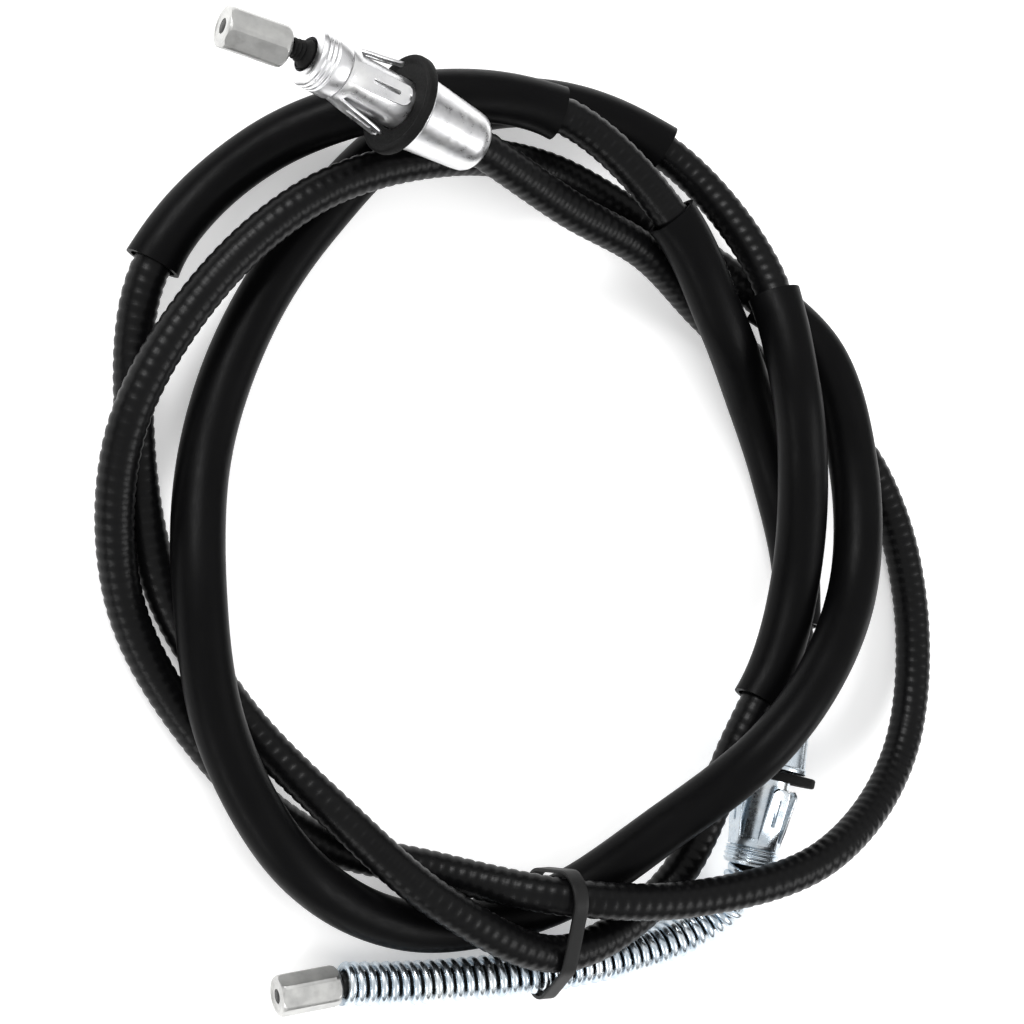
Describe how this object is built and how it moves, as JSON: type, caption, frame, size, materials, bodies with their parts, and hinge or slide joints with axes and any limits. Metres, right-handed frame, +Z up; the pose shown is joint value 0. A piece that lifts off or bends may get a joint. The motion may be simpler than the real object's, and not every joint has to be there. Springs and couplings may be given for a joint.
{
  "type": "parking brake cable",
  "caption": "Coiled sheathed brake cable with a swaged ferrule, clip-in end fitting and rubber washer at each end, loose sleeves, and a return spring at the rear end.",
  "frame": {"origin": "centre of the outline of the coil, on the floor it lies on", "axes": "+Z up, across the coil; +X towards the side where the rear fitting lies, +Y towards the side of the front ferrule"},
  "size_m": [0.2462, 0.2498, 0.0537],
  "materials": {
    "jacket": "extruded, satin, ribbed by the armour under it",
    "armour": "wound flat steel strip",
    "liner": "smooth",
    "rope": "stranded, with a thin black coating",
    "sleeve": "smooth, soft sheen",
    "plated_steel": "zinc plated, bright",
    "rubber": "matt",
    "tie": "paper and plastic covered"
  },
  "bodies": {
    "root": {"conduit_jacket": "jacket", "conduit_armour": "armour", "conduit_liner": "liner", "inner_wire_rope": "rope", "sleeve_long": "sleeve", "sleeve_side": "sleeve", "sleeve_upper": "sleeve", "sleeve_rear": "sleeve", "front_end_fitting": "plated_steel", "front_retaining_clip": "plated_steel", "front_rubber_washer": "rubber", "front_wire_seal": "rubber", "front_ferrule": "plated_steel", "rear_end_fitting": "plated_steel", "rear_retaining_clip": "plated_steel", "rear_rubber_washer": "rubber", "rear_wire_seal": "rubber", "rear_ferrule": "plated_steel", "return_spring": "plated_steel", "bundle_tie": "tie"}
  },
  "joints": []
}
